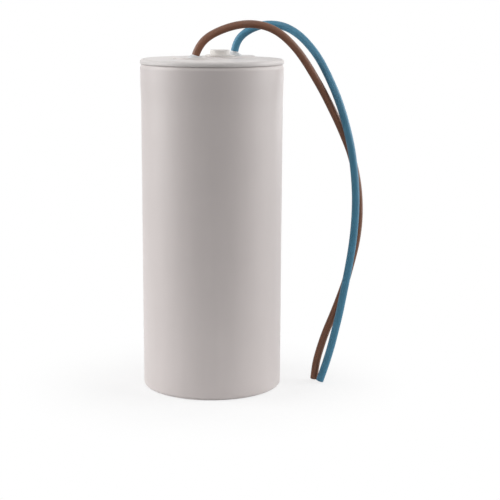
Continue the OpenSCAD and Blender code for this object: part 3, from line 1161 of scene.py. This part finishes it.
@dataclass(frozen=True)
class Softbox:
    """A rectangular studio lamp with a soft face."""

    name: str
    place: Triple
    size: Pair
    watts: float
    aim: Triple = (0.0, 0.0, 0.05)

    def build(self) -> None:
        """Makes the lamp."""
        light = bpy.data.lights.new(self.name, "AREA")
        light.shape, light.size, light.size_y = "RECTANGLE", *self.size
        light.energy = self.watts
        lamp = bpy.data.objects.new(self.name, light)
        lamp.location = self.place
        sight = Vector(self.aim) - Vector(self.place)
        lamp.rotation_euler = sight.to_track_quat("-Z", "Y").to_euler()
        lamp.visible_camera = False
        bpy.context.scene.collection.objects.link(lamp)


@dataclass(frozen=True)
class Studio:
    """Camera, floor, surroundings and lamps."""

    eye: Triple = (0.00399, -0.3904, 0.1120)
    pitch: float = 10.55
    yaw: float = 0.97
    roll: float = -0.26
    lens: float = 99.1
    sensor: float = 36.0
    clip: Pair = (0.01, 50.0)
    floor_r: float = 8.0
    floor_z: float = -0.01
    floor_around: int = 96
    paper: float = 0.97
    floor_greys: Pair = (0.65, 0.03)
    floor_fade: Pair = (0.07, 0.16)
    shadow_share: float = 0.3
    shadow_fade: Pair = (0.02, 0.06)
    dim: float = 0.02
    lamps: tuple[Softbox, ...] = (
        Softbox("left_softbox", (-0.62, 0.0, 0.22), (0.5, 0.6), 4.0),
        Softbox("right_softbox", (0.62, 0.0, 0.22), (0.5, 0.6), 3.2),
        Softbox("top_softbox", (0.0, 0.1, 0.75), (0.6, 0.6), 1.4),
        Softbox("rear_softbox", (0.5, 0.5, 0.25), (0.4, 0.6), 1.5),
        Softbox("front_softbox", (0.0, -0.7, 0.6), (0.6, 0.6), 2.2),
    )

    def camera(self) -> None:
        """Makes the camera."""
        data = bpy.data.cameras.new("camera")
        data.lens, data.sensor_width = self.lens, self.sensor
        data.clip_start, data.clip_end = self.clip
        camera = bpy.data.objects.new("camera", data)
        camera.location = self.eye
        turns = (90 - self.pitch, self.roll, -self.yaw)
        camera.rotation_euler = Euler([math.radians(turn) for turn in turns])
        bpy.context.scene.collection.objects.link(camera)
        bpy.context.scene.camera = camera

    def seen(self, nodes: Nodes) -> bpy.types.NodeSocket:
        """A value of 1 for the rays that show a surface to the eye, and 0 for those that light."""
        rays = nodes.add("ShaderNodeLightPath", {}).outputs
        total = rays["Is Camera Ray"]
        for name in ("Is Glossy Ray", "Is Transmission Ray"):
            total = nodes.add("ShaderNodeMath", {0: total, 1: rays[name]},
                              operation="MAXIMUM").outputs[0]
        return total

    def surroundings(self) -> None:
        """Makes the world: white to the eye, dim as a light."""
        world = bpy.data.worlds.new("surroundings")
        bpy.context.scene.world = world
        world.use_nodes = True
        nodes = Nodes(world.node_tree)
        shown = nodes.tree.nodes["Background"]
        nodes.feed(shown.inputs["Color"], shade(WHITE, 1.0))
        lit = nodes.add("ShaderNodeBackground", {"Color": shade(WHITE, self.dim)})
        either = nodes.add("ShaderNodeMixShader", {0: self.seen(nodes), 1: lit.outputs[0],
                                                   2: shown.outputs[0]})
        nodes.feed(nodes.tree.nodes["World Output"].inputs["Surface"], either.outputs[0])

    def floor(self) -> None:
        """Makes the floor: a grey paper sheet that shows as white but keeps the shadow."""
        shell = Shell()
        shell.close(shell.circle(self.floor_r / MM, self.floor_z, self.floor_around))
        sheet = shell.build("floor")
        material = bpy.data.materials.new("paper")
        material.use_nodes = True
        nodes = Nodes(material.node_tree)
        nodes.tree.nodes.clear()
        spot = nodes.add("ShaderNodeTexCoord", {}).outputs["Object"]
        away = nodes.add("ShaderNodeVectorMath", {0: spot}, operation="LENGTH").outputs["Value"]
        grey, share = (nodes.levels(away, reach, values, interpolation_type="SMOOTHSTEP")
                       for reach, values in ((self.floor_fade, self.floor_greys),
                                             (self.shadow_fade, (self.shadow_share, 0.0))))
        lit = nodes.add("ShaderNodeBsdfDiffuse", {"Color": grey})
        pale = nodes.add("ShaderNodeBsdfDiffuse", {"Color": shade(WHITE, self.paper)})
        glow = nodes.add("ShaderNodeEmission", {})
        shown = nodes.add("ShaderNodeMixShader", {0: share, 1: glow.outputs[0], 2: pale.outputs[0]})
        either = nodes.add("ShaderNodeMixShader", {0: self.seen(nodes), 1: lit.outputs[0],
                                                   2: shown.outputs[0]})
        nodes.add("ShaderNodeOutputMaterial", {"Surface": either.outputs[0]})
        sheet.data.materials.append(material)

    def build(self) -> None:
        """Sets the studio up."""
        bpy.context.scene.view_settings.view_transform = "Standard"
        self.camera()
        self.surroundings()
        self.floor()
        for lamp in self.lamps:
            lamp.build()


# ---------------------------------------------------------------- the whole part


CAN_PLASTIC = MouldedPlastic("can_plastic", (0.715, 0.655, 0.64))
LID_PLASTIC = MouldedPlastic("lid_plastic", (0.72, 0.68, 0.665))
PLUG_PLASTIC = MouldedPlastic("plug_plastic", (0.76, 0.735, 0.705), roughness=0.5)
SEAL_RESIN = SealingResin("sealing_resin", (0.66, 0.67, 0.68))
BROWN_PVC = ExtrudedPvc("brown_pvc", (0.155, 0.058, 0.026))
BLUE_PVC = ExtrudedPvc("blue_pvc", (0.055, 0.215, 0.335))
COPPER = Metal("copper", (0.83, 0.45, 0.28), 0.28, Grain.TWISTED, 0.05)
ZINC = Metal("sprayed_zinc", (0.5, 0.51, 0.52), 0.6, Grain.SPRAYED, 0.12)
FILM = Metal("metallised_film", (0.74, 0.75, 0.77), 0.22, Grain.WOUND, 0.02)
TIN = Metal("tinned_copper", (0.76, 0.76, 0.74), 0.3, Grain.DRAWN, 0.01)
SOLDER = Metal("solder", (0.7, 0.71, 0.72), 0.2, Grain.POOLED, 0.06)
TUBE = Insulator("core_plastic", (0.72, 0.62, 0.46), 0.5, Filler.DRAWING)
SLEEVE = Insulator("sleeve_pvc", (0.8, 0.72, 0.45), 0.45, Filler.DRAWING)
BOARD = Insulator("pressed_board", (0.62, 0.48, 0.3), 0.8, Filler.FIBRES)
POTTING = Insulator("potting_resin", (0.12, 0.13, 0.14), 0.3, Filler.SETTING)

INNER = {
    "film_winding": FILM, "core_tube": TUBE, "end_spray_top": ZINC, "end_spray_bottom": ZINC,
    "insulating_disc": BOARD, "return_strip": TIN, "strip_sleeve": SLEEVE,
    "solder_foot": SOLDER, "solder_tip": SOLDER, "solder_top": SOLDER,
    "conductor_brown": COPPER, "conductor_blue": COPPER, "potting_resin": POTTING,
}

BROWN_ROUTE = (
    (-3.4, -1, 97.6), (-1.6, -1, 99.7), (1.5, -0.5, 101.5), (6, -0.5, 103.1), (10.8, 0, 103.7),
    (15.5, 0.5, 102.9), (19.5, 0.5, 100.8), (23.5, 1, 97), (26.5, 1.5, 93), (29, 1.5, 89),
    (31.5, 2, 84.8), (34, 2, 80), (36, 2, 76), (38, 2, 71.5), (39.6, 2, 67.5), (41, 2, 62.5),
    (42, 2, 57), (42.4, 2, 51.5), (42.3, 2, 46.5), (41.6, 2, 40.8), (40.4, 2, 35.5), (39, 2, 30),
    (37.5, 2, 25.5), (35.5, 2, 20), (33.5, 2, 15), (32, 2, 10.5), (30.6, 1.5, 5.5), (30, 1.5, 0.5),
)
BLUE_ROUTE = (
    (7.2, 11, 98.6), (9.2, 11, 100.8), (12, 10.5, 102.4), (15.6, 9.5, 103.4), (20.4, 8.5, 102.9),
    (24.6, 7, 100.6), (28, 5.5, 97.2), (30.6, 4, 93.6), (33, 2.5, 89), (35, 1, 84.5),
    (36.5, 0, 80.5), (38, -0.5, 75.5), (39.4, -1, 69.8), (40.4, -1, 63.5), (41, -1, 57),
    (41.1, -1, 51.5), (40.9, -1, 46.5), (40.5, -1, 42), (39.9, -1, 37.5), (39, -1, 32),
    (38, -1, 26.5), (37, -1, 21), (36, -1, 16.5), (34.6, -1, 10.5), (33, -1, 5), (31.5, -1, 0.5),
)


def main() -> None:
    """Builds the capacitor and its studio."""
    logging.basicConfig(level=logging.INFO, format="%(message)s")
    plan = LidPlan()
    Studio().build()
    brown = Lead("brown", plan.brown_exit, BROWN_ROUTE, plan)
    blue = Lead("blue", plan.blue_exit, BLUE_ROUTE, plan)
    for lead, finish in ((brown, BROWN_PVC), (blue, BLUE_PVC)):
        lead.build(finish, COPPER)
    CanMoulding(plan).build(CAN_PLASTIC)
    LidMoulding(plan).build(LID_PLASTIC)
    FillerPlug(plan).build(PLUG_PLASTIC)
    LeadSeal(brown, 0.4, 0.9, 0.4).build(SEAL_RESIN)
    LeadSeal(blue, 1.1, 1.1, 2.1).build(SEAL_RESIN)
    InnerPieces(INNER).dress()


if __name__ == "__main__":
    main()
